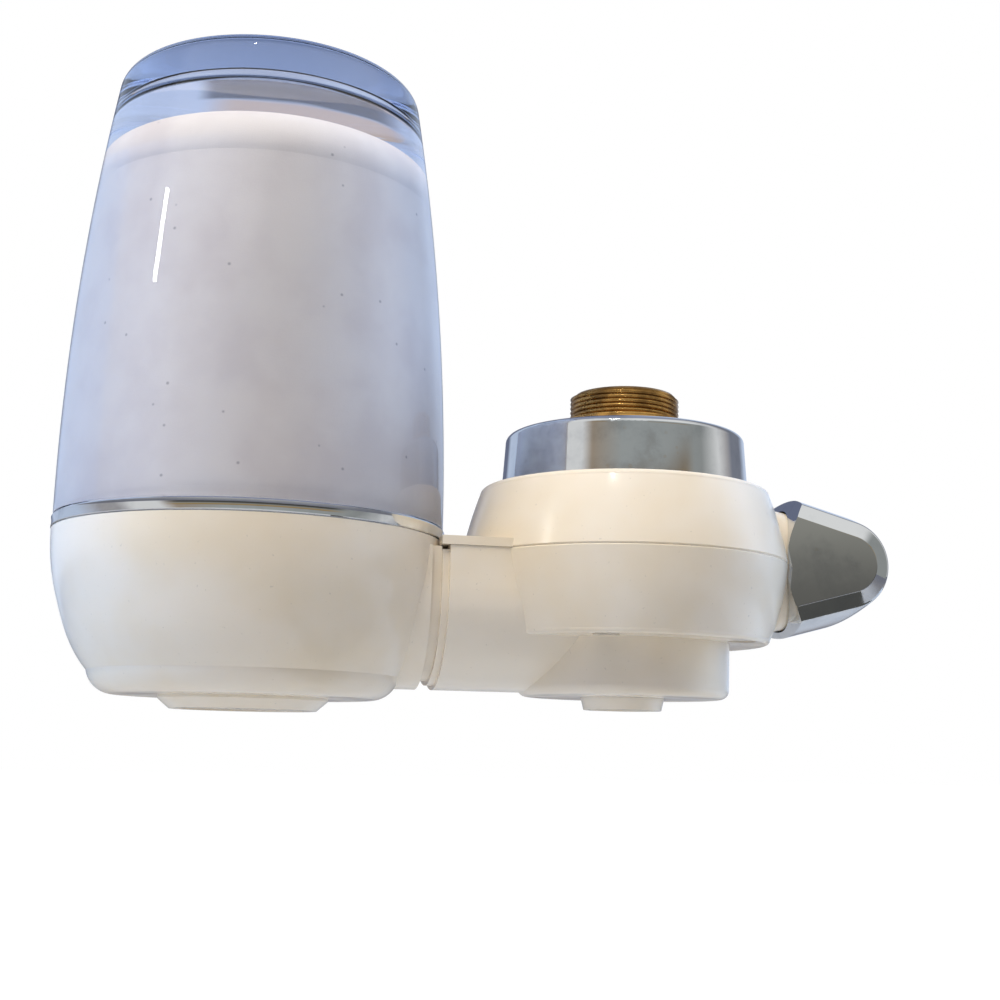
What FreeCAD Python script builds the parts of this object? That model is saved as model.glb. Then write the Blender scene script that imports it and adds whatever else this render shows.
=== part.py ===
import FreeCAD, Part
import math
import os

# A faucet mount water filter: a clear domed housing with a ceramic cartridge on
# the left, a valve with a coupling nut on the right, and a chrome lever beyond it.
# Millimetres, +Z up, X along the arm, -Y to the user. Every height below is taken
# from the seam between the two valve covers. The files are written with their
# origin at the adapter's upper face, which is outlet_face above the seam.

os.makedirs("parts", exist_ok=True)

# Driving dimensions: clearances
running = 0.06
slip = 0.10
loose = 0.30
shadow_gap = 0.30

# Driving dimensions: clear housing
housing_r = 39.8
housing_wall = 2.2
housing_taper = 7.7
housing_top = 100.0
top_wall = 8.2
shoulder_drop = 3.9
cavity_top = housing_top - top_wall

# Driving dimensions: bowl and trim ring
bowl_ledge = 0.2
bowl_r = housing_r + bowl_ledge
bowl_top = 1.5
bowl_floor = -30.8
bowl_wall = 2.5
rim_w = 2.9
neck_bore = bowl_r - rim_w
seat_depth = 14.9
core_seat = bowl_top - seat_depth
core_flange = 3.0
ring_h = 2.6
ring_r = bowl_r + 0.1
foot = bowl_top + ring_h + shadow_gap

# Driving dimensions: housing skirt and seal
skirt_gap = 0.4
skirt_wall = 2.1
seal_h = 1.4
skirt_r = neck_bore - skirt_gap
skirt_bore = skirt_r - skirt_wall
skirt_end = core_seat + core_flange + seal_h

# Driving dimensions: cartridge
candle_gap = 0.6
candle_headroom = 7.2
candle_wall = 6.5
candle_r = skirt_bore - candle_gap
candle_low = bowl_top
candle_top = cavity_top - candle_headroom
carbon_gap = 3.5
carbon_r = candle_r - candle_wall - carbon_gap
spigot_r = 8.9
spigot_l = 14.5
cap_h = 3.2
cap_seat = core_seat + 8.4

# Driving dimensions: valve covers
cover_r = 35.4
cover_top_r = 31.4
cover_low_r = 31.4
cover_top = 15.6
cover_wall = 2.4
under_z = -17.2
block_r = 22.85
block_low = -28.9
tongue_h = 1.8
boss_r = 13.8
boss_tip_r = 12.8
boss_end = 38.4
landing = 32.0

# Driving dimensions: arm
arm_span = 4.9
filter_reach = cover_r + arm_span + bowl_r
filter_x = -filter_reach
flow_z = -18.0
arm_r = 20.0
arm_centre = -8.3
arm_wall = 2.4
seam_out = 3.7
arm_end = -cover_r - seam_out
collar_w = 3.8
groove_w = 2.2
groove_d = 1.8
stub_end = arm_end - collar_w - groove_w
arm_root = filter_x + bowl_r / 2
nipple_r = 4.9
nipple_bore = 2.6

# Driving dimensions: nut and adapter
outlet_face = 31.2
nut_r = 27.0
nut_top_r = 26.1
nut_low = 13.45
nut_top = 27.8
lip = 2.4
thread_r = 21.3
adapter_r = 14.0
flange_r = 17.4
tap_thread_r = 11.9
tap_thread_h = 6.2

# Driving dimensions: valve
barrel_r = 13.0
spool_bore = 9.0
spool_start = -10.0
spool_end = 22.6
barrel_end = 27.4
port_r = 3.8
stem_r = 5.0
leg_x = -14.0
nipple_in = stub_end - 12.4
nipple_out = leg_x - 4.1

# Driving dimensions: lever
lever_rear = 32.3
lever_bow = 7.2
lever_rim = 38.0
lever_half = 12.0
lever_crown = 3.0
lever_side = 15.0
lever_tip = 55.7
lever_taper = 0.274
lever_bevel = 3.3
lever_lift = 0.5
rim_bevel = 2.3
face_edge = 0.5
crown_edge = 0.9
stem_end = 50.0
flat_start = 40.0
flat_half = 3.8

# Driving dimensions: raw outlet
spout_r = 8.95
spout_low = -31.5
spout_shelf = -22.0
spout_plug_r = 7.5
spout_plug_l = 5.5
screen_h = 1.6


def vec(x, y, z):
    return FreeCAD.Vector(x, y, z)


def rod(r, low, high, x=0.0, y=0.0):
    """Upright cylinder between two heights."""
    return Part.makeCylinder(r, high - low, vec(x, y, low))


def rod_x(r, start, end, y=0.0, z=0.0):
    """Cylinder along the arm between two places."""
    return Part.makeCylinder(r, end - start, vec(start, y, z), vec(1, 0, 0))


def box(x0, x1, y0, y1, z0, z1):
    return Part.makeBox(x1 - x0, y1 - y0, z1 - z0, vec(x0, y0, z0))


def edges_of(path, place):
    """Edges of an open path: corners, and arcs or curves written as tuples that start with a word."""
    edges = []
    here = place(path[0])
    for step in path[1:]:
        if step[0] == "arc":
            there = place(step[2])
            edges.append(Part.Arc(here, place(step[1]), there).toShape())
        elif step[0] == "curve":
            there = place(step[-1])
            curve = Part.BSplineCurve()
            curve.interpolate([here] + [place(p) for p in step[1:]])
            edges.append(curve.toShape())
        else:
            there = place(step)
            edges.append(Part.makeLine(here, there))
        here = there
    return edges, here


def crown(r, low, high):
    """Arc from a rim of radius r up (or down) to the axis, as part of a ball's surface."""
    rise = high - low
    ball = (r * r + rise * rise) / (2 * abs(rise))
    half = math.asin(r / ball) / 2
    sink = ball * (1 - math.cos(half))
    return ("arc", (ball * math.sin(half), high - math.copysign(sink, rise)), (0, high))


def closed_face(path, place):
    edges, here = edges_of(path, place)
    start = place(path[0])
    if here.distanceToPoint(start) > 1e-6:
        edges.append(Part.makeLine(here, start))
    return Part.Face(Part.Wire(edges))


def turned(path, x=0.0):
    """Path of (radius, height) turned about the upright axis at x."""
    face = closed_face(path, lambda p: vec(x + p[0], 0, p[1]))
    return face.revolve(vec(x, 0, 0), vec(0, 0, 1), 360)


def turned_x(path, y=0.0, z=0.0):
    """Path of (place, radius) turned about the arm's direction."""
    face = closed_face(path, lambda p: vec(p[0], y, z + p[1]))
    return face.revolve(vec(0, y, z), vec(1, 0, 0), 360)


def seal_ring(major, minor, at, axis):
    return Part.makeTorus(major, minor, at, axis)


def around(count, radius, x=0.0, start=0.0):
    """Places of a circular pattern."""
    places = []
    for k in range(count):
        a = start + 2 * math.pi * k / count
        places.append((x + radius * math.cos(a), radius * math.sin(a)))
    return places


def group(shapes):
    return Part.makeCompound(shapes)


# Bowl side

def bowl_form(grow=0.0):
    """The bowl's outside as a solid, from a full rim to a rounded flat floor."""
    r = bowl_r + grow
    low = bowl_floor - grow

    def at(inset, share):
        return (r - inset, bowl_top + share * (bowl_floor - bowl_top))

    return turned([
        (0, bowl_top), (r, bowl_top),
        ("curve", at(0.3, 0.17), at(0.9, 0.294), at(1.9, 0.418), at(3.1, 0.542),
         at(4.6, 0.666), at(6.3, 0.765), at(8.5, 0.858)),
        ("arc", at(10.4, 0.961), (r - 13.0, low)),
        (0, low)], filter_x)


def bowl_inside():
    r = bowl_r - bowl_wall
    low = bowl_floor + bowl_wall

    def at(inset, share):
        return (r - inset, core_seat + share * (low - core_seat))

    return turned([
        (0, bowl_top + 1), (neck_bore, bowl_top + 1), (neck_bore, core_seat), (r - 3.0, core_seat),
        ("curve", at(3.8, 0.242), at(5.4, 0.477), at(8.0, 0.738)),
        ("arc", at(9.2, 0.879), (r - 11.0, low)),
        (0, low)], filter_x)


def arm_section(x0, x1, shrink=0.0, top=0.0):
    """Length of the arm: flat top, straight sides and a half-round underside."""
    r = arm_r - shrink
    half_up = (r, top)
    path = [(-r, top), (-r, arm_centre), ("arc", (0, arm_centre - r), (r, arm_centre)), half_up]
    face = closed_face(path, lambda p: vec(x0, p[0], p[1]))
    return face.extrude(vec(x1 - x0, 0, 0))


joint_head = 2.8
joint_room = arm_r - arm_wall - joint_head
joint_screw_y = joint_room * 11.2 / 14.8
joint_screw_z = arm_centre - joint_room * 9.3 / 14.8
joint_shank = 1.45
outlet_hole = 14.6


def joint_holes(r, x0, x1):
    return [rod_x(r, x0, x1, s * joint_screw_y, joint_screw_z) for s in (-1, 1)]


def make_bowl():
    """Outer bowl with the stub that carries the arm, its V groove and its end wall."""
    stub_top = bowl_top - 1.7
    shell = bowl_form().fuse([arm_section(arm_root, stub_end, 0.0, stub_top),
                              arm_section(stub_end, arm_end - collar_w, groove_d, stub_top)])
    room = bowl_inside().fuse(arm_section(arm_root, stub_end - arm_wall, arm_wall, stub_top - arm_wall)
                              .cut(rod(skirt_r + 0.2, core_seat, bowl_top + 2, filter_x)))
    shell = shell.cut(room)
    shell = shell.cut(rod(outlet_hole, bowl_floor - 1, bowl_floor + 5, filter_x))
    ways = (stub_end - 5.0, stub_end + 5.0)
    shell = shell.cut([rod_x(nipple_r + 3.2, *ways, 0, flow_z)] + joint_holes(1.6, *ways))
    return shell


def make_trim_ring():
    """Bright band on the bowl's rim, undercut at the rim, with eased edges and a fine waist."""
    low = bowl_top
    high = bowl_top + ring_h
    return turned([
        (neck_bore, low), (ring_r - 0.8, low), (ring_r - 0.8, low + 0.25), (ring_r - 0.15, low + 0.25),
        (ring_r, low + 0.4), ("arc", (ring_r - 0.12, (low + high) / 2), (ring_r, high - 0.25)),
        (ring_r - 0.2, high), (neck_bore, high)], filter_x)


def barrel(inset, share):
    """Place on the housing's barrel side, a share of the way from its foot to its shoulder."""
    shoulder = housing_top - shoulder_drop
    return (housing_r - inset - housing_taper * share * share, foot + share * (shoulder - foot))


def make_housing():
    """Clear dome: barrel side, thick flat top with a rounded rim, and the skirt that enters the neck."""
    r = housing_r
    w = housing_wall
    rim = housing_r - housing_taper
    high = (cavity_top - 5.4 - foot) / (housing_top - shoulder_drop - foot)
    low = 0.05
    inner_rim = barrel(w, high)[0]
    return turned([
        (skirt_bore, skirt_end), (skirt_r, skirt_end), (skirt_r, foot), (r - 0.3, foot), (r, foot + 0.3),
        ("arc", barrel(0, 0.5), barrel(0, 1.0)),
        ("arc", (rim - 1.39, housing_top - 1.5), (rim - 3.71, housing_top - 0.56)),
        crown(rim - 3.71, housing_top - 0.56, housing_top),
        (0, cavity_top), (inner_rim - 4.1, cavity_top),
        ("arc", (inner_rim - 1.2, cavity_top - 2.2), barrel(w, high)),
        ("arc", barrel(w, (high + low) / 2), barrel(w, low)),
        ("arc", (r - w - 0.9, foot + 1.6), (skirt_bore, foot - 0.5))], filter_x)


def make_housing_seal():
    seat = core_seat + core_flange
    return turned([(skirt_bore + slip, seat), (skirt_r - slip, seat),
                   (skirt_r - slip, skirt_end), (skirt_bore + slip, skirt_end)], filter_x)


core_socket = spigot_r + slip
core_tube = 6.0
socket_floor = cap_seat - spigot_l - 1.5


def make_core():
    """Pressure core in the bowl: flange, ring chamber, cartridge socket and outlet tube."""
    top = core_seat + core_flange
    drum = bowl_r - bowl_wall - 11.9
    low = bowl_floor + bowl_wall + 0.9
    tube_low = bowl_floor + 1.2
    rim = neck_bore - 2 * slip
    wall = 2.2
    neck = core_socket + 2.5
    body = turned([
        (core_socket, cap_seat), (neck, cap_seat), (neck, top), (rim, top),
        (rim, core_seat), (drum, core_seat), (drum, low), (outlet_tube, low), (outlet_tube, tube_low),
        (core_tube, tube_low), (core_tube, socket_floor), (core_socket, socket_floor)], filter_x)
    chamber = turned([(neck, core_seat), (drum - wall, core_seat), (drum - wall, low + wall),
                      (outlet_tube, low + wall), (outlet_tube, socket_floor - 1.8),
                      (neck, socket_floor)], filter_x)
    stub = rod_x(nipple_r + 1.9, filter_x + drum - 1.5, stub_end - arm_wall - 0.6, 0, flow_z)
    body = body.fuse(stub).cut(chamber)
    body = body.cut(rod_x(nipple_r + slip, filter_x + drum - 7.6, stub_end + 5.0, 0, flow_z))
    middle = (neck + drum - wall) / 2
    inlets = [rod(2.2, core_seat - 1, top + 1, x, y) for x, y in around(8, middle, filter_x, 0.39)]
    return body.cut(inlets)


outlet_tube = 8.5


def make_outlet_ring():
    """Screwed ring under the bowl that clamps the core and frames the shower plate."""
    f = bowl_floor
    bore = outlet_tube + 2 * slip
    return turned([
        (bore, f + 2.8), (outlet_hole - loose, f + 2.8), (outlet_hole - loose, f), (17.2, f), (17.2, f - 0.6),
        (16.8, f - 1.0), (14.9, plate_low - 0.3), (plate_r + slip, plate_low - 0.3), (plate_r + slip, f - 1.0),
        (bore + 1.9, f - 1.0), (bore + 1.9, f + 1.0), (bore, f + 1.0)], filter_x)


plate_r = 12.4
plate_low = bowl_floor - 2.3


def make_shower_plate():
    f = bowl_floor
    plate = rod(plate_r, plate_low, f - 1.0, filter_x)
    jets = [rod(0.9, plate_low - 1, f, filter_x, 0)]
    for count, radius in ((6, 4.2), (12, 8.4)):
        jets += [rod(0.9, plate_low - 1, f, x, y) for x, y in around(count, radius, filter_x)]
    return plate.cut(jets)


# Cartridge

def make_ceramic_shell():
    """Hollow ceramic candle: slight taper, broad domed top, shoulder over the end cap."""
    r = candle_r
    t = candle_top
    w = candle_wall
    heel = r - 1.2
    return turned([
        (heel - 5.0, cap_seat + cap_h), (heel, cap_seat + cap_h), (heel, candle_low), (r, candle_low),
        (r, candle_low + 10.5), ("curve", (r - 0.35, (candle_low + t) / 2 - 3.0), (r - 1.7, t - 11.1)),
        ("arc", (r - 3.4, t - 4.8), (r - 8.6, t - 1.4)),
        crown(r - 8.6, t - 1.4, t),
        (0, t - w), (r - w - 8.0, t - w),
        ("arc", (r - w - 3.6, t - w - 3.4), (r - w - 2.0, t - w - 8.0)),
        (heel - 5.0, candle_low + 10.5)], filter_x)


spigot_seal_places = (cap_seat - 11.0, cap_seat - 6.5)


def make_end_cap():
    """Cap glued under the candle, with the spigot that plugs into the core."""
    rim = candle_r - 0.1
    low = cap_seat - spigot_l
    floor = cap_seat + cap_h
    cap = turned([
        (4.5, low), (spigot_r - 1.0, low), (spigot_r, low + 1.0), (spigot_r, cap_seat), (rim - 1.0, cap_seat),
        (rim, cap_seat + 1.0), (rim, candle_low), (rim - 1.0, candle_low), (rim - 1.0, floor), (4.5, floor)],
        filter_x)
    grooves = [turned([(spigot_r - 2.0, z - 1.0), (spigot_r + 1, z - 1.0), (spigot_r + 1, z + 1.0),
                       (spigot_r - 2.0, z + 1.0)], filter_x) for z in spigot_seal_places]
    return cap.cut(grooves)


def make_cartridge_seals():
    return group([seal_ring(spigot_r - 0.96, 0.95, vec(filter_x, 0, z), vec(0, 0, 1)) for z in spigot_seal_places])


def make_carbon_block():
    low = cap_seat + cap_h + 0.8
    top = candle_top - 14.6
    return turned([(5.0, low), (carbon_r, low), (carbon_r, top - 2.0), (carbon_r - 2.0, top), (5.0, top)], filter_x)


def make_carbon_washer():
    low = cap_seat + cap_h
    return turned([(5.0, low), (carbon_r - 1.0, low), (carbon_r - 1.0, low + 0.8), (5.0, low + 0.8)], filter_x)


# Arm

def make_arm_collar():
    """Spacer between bowl and arm, bevelled at the V groove, hollowed to the bowl's round side."""
    x1 = arm_end
    x0 = arm_end - collar_w
    collar = arm_section(x0 + 1.4, x1, 0.0, -0.05)
    bevel = arm_section(x0, x0 + 1.4, 0.9, -0.95)
    collar = collar.fuse(bevel)
    collar = collar.cut(bowl_form(0.35))
    return collar.cut([rod_x(nipple_r + 3.2, x0 - 5, x1 + 1, 0, flow_z)] + joint_holes(1.6, x0 - 5, x1 + 1))


def make_nipple():
    """Water passage from the valve to the core, with a seal groove near each end and a middle collar."""
    a = nipple_in
    b = nipple_out
    stop = (arm_end - collar_w + 0.1, arm_end + 1.6)
    tube = turned_x([(a, nipple_bore), (a, nipple_r - 0.5), (a + 0.5, nipple_r), (stop[0], nipple_r),
                     (stop[0], nipple_r + 2.8), (stop[1], nipple_r + 2.8), (stop[1], nipple_r), (b - 0.5, nipple_r),
                     (b, nipple_r - 0.5), (b, nipple_bore)], 0, flow_z)
    grooves = []
    for x in nipple_seal_places:
        ring = rod_x(nipple_r + 1, x - 0.85, x + 0.85, 0, flow_z)
        grooves.append(ring.cut(rod_x(nipple_r - 1.4, x - 2, x + 2, 0, flow_z)))
    return tube.cut(grooves)


nipple_seal_places = (nipple_in + 2.7, nipple_in + 5.7, nipple_out - 6.5, nipple_out - 3.5)


def make_nipple_seals():
    return group([seal_ring(nipple_r - 0.65, 0.70, vec(x, 0, flow_z), vec(1, 0, 0)) for x in nipple_seal_places])


def cross_recess(x, y, z, depth, axis):
    """Two crossed slots for a driver, opening against the given axis."""
    w = 0.45
    r = 1.5
    if axis == "x":
        return [box(x, x + depth, y - r, y + r, z - w, z + w), box(x, x + depth, y - w, y + w, z - r, z + r)]
    return [box(x - r, x + r, y - w, y + w, z, z + depth), box(x - w, x + w, y - r, y + r, z, z + depth)]


def make_joint_screws():
    """Two long screws that pull the valve's arm onto the bowl's stub from inside the bowl."""
    seat = stub_end - arm_wall
    screws = []
    for s in (-1, 1):
        y = s * joint_screw_y
        head = rod_x(joint_head, seat - 1.8, seat, y, joint_screw_z)
        shank = rod_x(joint_shank, seat, arm_end + 8.1, y, joint_screw_z)
        screw = head.fuse(shank).cut(cross_recess(seat - 1.9, y, joint_screw_z, 1.2, "x"))
        screws.append(screw)
    return group(screws)


# Valve covers

post_r = 3.2
post_circle = cover_low_r - cover_wall - 2.0
cover_screw_places = [(post_circle * math.cos(math.radians(a)), post_circle * math.sin(math.radians(a)))
                      for a in (-113, -40, 40, 113)]


def boss_outside():
    return turned_x([(15.0, 0), (15.0, boss_r), (landing, boss_r), (boss_end - 0.6, boss_tip_r),
                     (boss_end, boss_tip_r - 0.6), (boss_end, 0)])


def boss_inside():
    return turned_x([(14.0, 0), (14.0, boss_r - 2.2), (landing + 1.0, boss_r - 2.2),
                     (boss_end - 2.0, boss_tip_r - 2.2), (boss_end - 2.0, 0)])


def lever_landing():
    """Flat face that the lever's sides turn against."""
    return rod_x(19.4, landing, 50)


def half_space(sign):
    return box(-60, 60, -60, 60, 0, 60) if sign > 0 else box(-60, 60, -60, 60, -60, 0)


def make_upper_cover():
    """Upper cover: cone with an eased top round the nut, tongue over the arm, upper half of the boss."""
    r = cover_r
    t = cover_top
    outside = turned([(0, 0), (r - 0.3, 0), (r, 0.3), ("arc", (r - 1.7, 7.8), (cover_top_r + 0.15, t - 1.1)),
                      ("arc", (cover_top_r - 0.25, t - 0.3), (cover_top_r - 1.1, t)), (0, t)])
    inside = turned([(0, -1), (r - cover_wall, -1), (r - cover_wall, 0),
                     (cover_top_r - cover_wall, t - cover_wall), (0, t - cover_wall)])
    tongue = box(arm_end - collar_w - 0.3, -20, -arm_r - 0.25, arm_r + 0.25, 0, tongue_h)
    tongue = tongue.cut(rod(ring_r + 0.25, -1, 5, filter_x))
    cover = outside.cut(lever_landing())
    cover = cover.fuse([tongue, boss_outside().common(half_space(1))])
    cover = cover.cut([inside, boss_inside(), rod(nut_r + 0.5, 5, t + 5)])
    posts = [rod(post_r, 0, t - cover_wall + 0.1, x, y) for x, y in cover_screw_places]
    cover = cover.fuse(posts)
    pilots = [rod(1.5, -1, 11.0, x, y) for x, y in cover_screw_places]
    pilots.append(rod(nut_r + 0.5, t - cover_wall, t + 5))
    return cover.cut(pilots + [rod_x(stem_r + 0.4, boss_end - 18, boss_end + 22)])


def make_lower_cover():
    """Lower cover: drum, arm and outlet block in one moulding, with screw posts inside."""
    r = cover_r
    u = under_z
    w = cover_wall
    drum_r = cover_low_r
    outside = turned([
        (0, 0), (r - 0.3, 0), (r, -0.3), ("arc", (r - 1.5, -9.0), (drum_r, u + 1.0)),
        ("arc", (drum_r - 0.3, u + 0.3), (drum_r - 1.0, u)), (block_r, u), (block_r - 0.15, block_low + 2.0),
        ("arc", (block_r - 0.75, block_low + 0.55), (block_r - 2.2, block_low)), (0, block_low)])
    inside = turned([
        (0, 1), (r - w, 1), (r - w, 0), (drum_r - w, u + w), (block_r - w, u + w),
        (block_r - w - 0.2, block_low + w), (0, block_low + w)])
    cover = outside.cut(lever_landing())
    cover = cover.fuse([arm_section(arm_end, -12.0, 0.0, -0.05), boss_outside().common(half_space(-1))])
    room = arm_section(arm_end + w, -10.0, w, 1.0)
    cover = cover.cut([inside, room, boss_inside()])
    posts = [rod(post_r, u + 1.0, 0, x, y) for x, y in cover_screw_places]
    bosses = [rod_x(3.0, arm_end + 1, arm_end + 8.1, s * joint_screw_y, joint_screw_z) for s in (-1, 1)]
    cover = cover.fuse(posts + bosses)
    cuts = [rod(1.6, u - 1, 1, x, y) for x, y in cover_screw_places]
    cuts += [rod(2.9, u - 1, u + 2.2, x, y) for x, y in cover_screw_places]
    cuts += joint_holes(1.5, arm_end - 1, arm_end + 9.1)
    cuts.append(rod_x(nipple_r + 3.2, arm_end - 1, arm_end + w + 1, 0, flow_z))
    cuts.append(rod(spout_r + loose, block_low - 1, block_low + w + 1))
    cuts.append(rod_x(stem_r + 0.4, boss_end - 18, boss_end + 22))
    return cover.cut(cuts)


def make_cover_screws():
    """Four screws from below; the heads lie sunk in the underside."""
    seat = under_z + 2.2
    screws = []
    for x, y in cover_screw_places:
        screw = rod(2.6, seat - 1.7, seat, x, y).fuse(rod(1.4, seat, 9.0, x, y))
        screws.append(screw.cut(cross_recess(x, y, seat - 1.8, 1.2, "z")))
    return group(screws)


# Nut and adapter

gasket_seat = nut_top - lip - 3.0


def make_coupling_nut():
    """Plain polished nut: slight taper, rounded upper edge, turned lip over the adapter's flange."""
    t = nut_top
    return turned([
        (thread_r + slip, nut_low), (nut_r - 0.4, nut_low), (nut_r, nut_low + 0.4),
        (nut_top_r + 0.05, t - 1.6), ("arc", (nut_top_r - 0.45, t - 0.4), (nut_top_r - 1.6, t)),
        (adapter_r + slip + 0.3, t), (adapter_r + slip, t - 0.3), (adapter_r + slip, t - lip),
        (flange_r + 0.5, t - lip), (flange_r + 0.5, gasket_seat + 1.3), (thread_r + slip, gasket_seat + 0.3)])


def make_adapter():
    """Brass adapter: flange held by the nut, visible collar, mounting thread above it."""
    low = nut_top - lip - 1.5
    return turned([
        (9.6, low), (flange_r, low), (flange_r, nut_top - lip), (adapter_r, nut_top - lip),
        (adapter_r, outlet_face - 0.3), (adapter_r - 0.3, outlet_face), (tap_thread_r, outlet_face),
        (tap_thread_r, outlet_face + tap_thread_h - 0.6), (tap_thread_r - 0.6, outlet_face + tap_thread_h),
        (9.6, outlet_face + tap_thread_h)])


def make_inlet_gasket():
    return turned([(9.8, gasket_seat), (flange_r - 0.1, gasket_seat),
                   (flange_r - 0.1, gasket_seat + 1.5), (9.8, gasket_seat + 1.5)])


strainer_r = 15.4
strainer_seat = 17.4


def make_strainer():
    """Punched screen with an upturned rim, lying in the inlet."""
    z = strainer_seat
    screen = turned([(0, z), (strainer_r - 0.2, z), (strainer_r - 0.2, z + 2.4), (strainer_r - 0.9, z + 2.4),
                     (strainer_r - 0.9, z + 0.7), (0, z + 0.7)])
    holes = [rod(1.2, z - 1, z + 2)]
    for count, radius in ((6, 4.0), (12, 8.0), (16, 12.0)):
        holes += [rod(1.2, z - 1, z + 2, x, y) for x, y in around(count, radius)]
    return screen.cut(holes)


# Valve

raw_port_x = 4.6
filter_port_x = -5.4


def make_valve_body():
    """Valve moulding: threaded neck, spool barrel, drop leg to the arm socket, pipe to the raw outlet."""
    top = gasket_seat
    neck = turned([(0, 8.0), (thread_r - 3.0, 8.0), (thread_r - 3.0, 11.5), (thread_r, 12.6),
                   (thread_r, top - 0.6), (thread_r - 0.6, top), (0, top)])
    barrel = rod_x(barrel_r, -20.5, barrel_end)
    pipe = rod(spout_plug_r + 2.9, spout_shelf, 2.0)
    leg = rod(6.0, flow_z - 4.0, 2.0, leg_x, 0)
    socket = rod_x(nipple_r + 2.0, -31.0, -9.4, 0, flow_z)
    body = neck.fuse([barrel, pipe, leg, socket])
    inlet = turned([(0, 10.5), (13.4, 10.5), (13.4, strainer_seat), (strainer_r, strainer_seat),
                    (strainer_r, top + 1), (0, top + 1)])
    cuts = [inlet, rod_x(spool_bore, -18.0, 31.0), rod(port_r, 0, 12, raw_port_x, 0),
            rod(port_r, 0, 12, filter_port_x, 0), rod(port_r, -14, 0, raw_port_x, 0),
            rod(spout_plug_r + slip, spout_shelf - 1, -13.0), rod(3.4, flow_z, 0, leg_x, 0),
            rod_x(nipple_r + slip, -32, -17.0, 0, flow_z), rod_x(3.4, -18, leg_x, 0, flow_z)]
    return body.cut(cuts)


spool_seal_places = (13.0, 18.0)


def make_spindle():
    """Turning spool: angled passage to the filter, cross passage to the raw outlet, stem with two flats."""
    r = spool_bore - running
    spool = turned_x([(spool_start, 0), (spool_start, r), (spool_end, r), (spool_end, stem_r),
                      (stem_end, stem_r), (stem_end, 0)])
    cuts = [rod_x(4.4, spool_start - 1, filter_port_x), rod(4.2, 0, 12, filter_port_x, 0)]
    cuts.append(Part.makeCylinder(3.6, 30, vec(raw_port_x, -15, 0), vec(0, 1, 0)))
    for x in spool_seal_places:
        cuts.append(rod_x(r + 1, x - 1.0, x + 1.0).cut(rod_x(r - 1.75, x - 2, x + 2)))
    for s in (-1, 1):
        flat = box(flat_start, stem_end + 1, flat_half, 8, -8, 8)
        cuts.append(flat if s > 0 else flat.mirror(vec(0, 0, 0), vec(0, 1, 0)))
    return spool.cut(cuts)


def make_spindle_seals():
    return group([seal_ring(spool_bore - running - 0.82, 0.84, vec(x, 0, 0), vec(1, 0, 0))
                  for x in spool_seal_places])


def make_gland():
    """Ring screwed into the barrel's mouth that keeps the spool in and bears the stem."""
    r = spool_bore - 0.02
    ring = turned_x([(spool_end + 0.1, stem_r + running), (spool_end + 0.1, r), (barrel_end, r), (barrel_end, 11.0),
                     (barrel_end + 2.6, 11.0), (barrel_end + 2.6, stem_r + running)])
    notches = [rod_x(1.2, barrel_end + 1.2, barrel_end + 4, 8.4 * math.cos(a), 8.4 * math.sin(a))
               for a in (0.0, math.pi / 2, math.pi, -math.pi / 2)]
    return ring.cut(notches)


# Lever

def grip_outline(y, half, tip):
    """Side outline of the grip at y: two tapered sides and a round nose that meets them smoothly."""
    slope = math.atan(lever_taper)
    height = half + lever_taper * lever_rim
    centre = (tip - height * math.cos(slope)) / (1 - math.sin(slope))
    nose = tip - centre
    x = centre + nose * math.sin(slope)
    z = nose * math.cos(slope)
    rear = lever_rear - 3.0
    rise = half + lever_taper * (lever_rim - rear)
    path = [(rear, -rise), (x, -z), ("arc", (tip, 0), (x, z)), (rear, rise)]
    edges, here = edges_of(path, lambda p: vec(p[0], y, p[1] + lever_lift))
    edges.append(Part.makeLine(here, vec(rear, y, lever_lift - rise)))
    return Part.Wire(edges)


def lever_back():
    """Everything in front of a bowed rear edge, with a bevel from it to the flat near and far faces."""
    bow_x = lever_rear + lever_bow
    reach = lever_tip + 5
    path = [(bow_x, -18.0), ("arc", (lever_rear, 0), (bow_x, 18.0)), (reach, 18.0), (reach, -18.0)]
    face = closed_face(path, lambda p: vec(p[0], -20, p[1]))
    side = lever_side - 1.4
    plan = [(lever_rear - 0.4, -side), (lever_rear + rim_bevel, -lever_side - 0.1), (reach, -lever_side - 0.1),
            (reach, lever_side + 0.1), (lever_rear + rim_bevel, lever_side + 0.1), (lever_rear - 0.4, side)]
    slab = closed_face(plan, lambda p: vec(p[0], p[1], -20)).extrude(vec(0, 0, 40))
    return face.extrude(vec(0, 40, 0)).common(slab)


def edges_at(shape, y):
    """Edges that lie at a distance y from the lever's middle plane, apart from its rear ones."""
    return [e for e in shape.Edges if abs(abs(e.CenterOfMass.y) - y) < 0.01 and e.CenterOfMass.x > lever_rear - 2.5]


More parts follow.
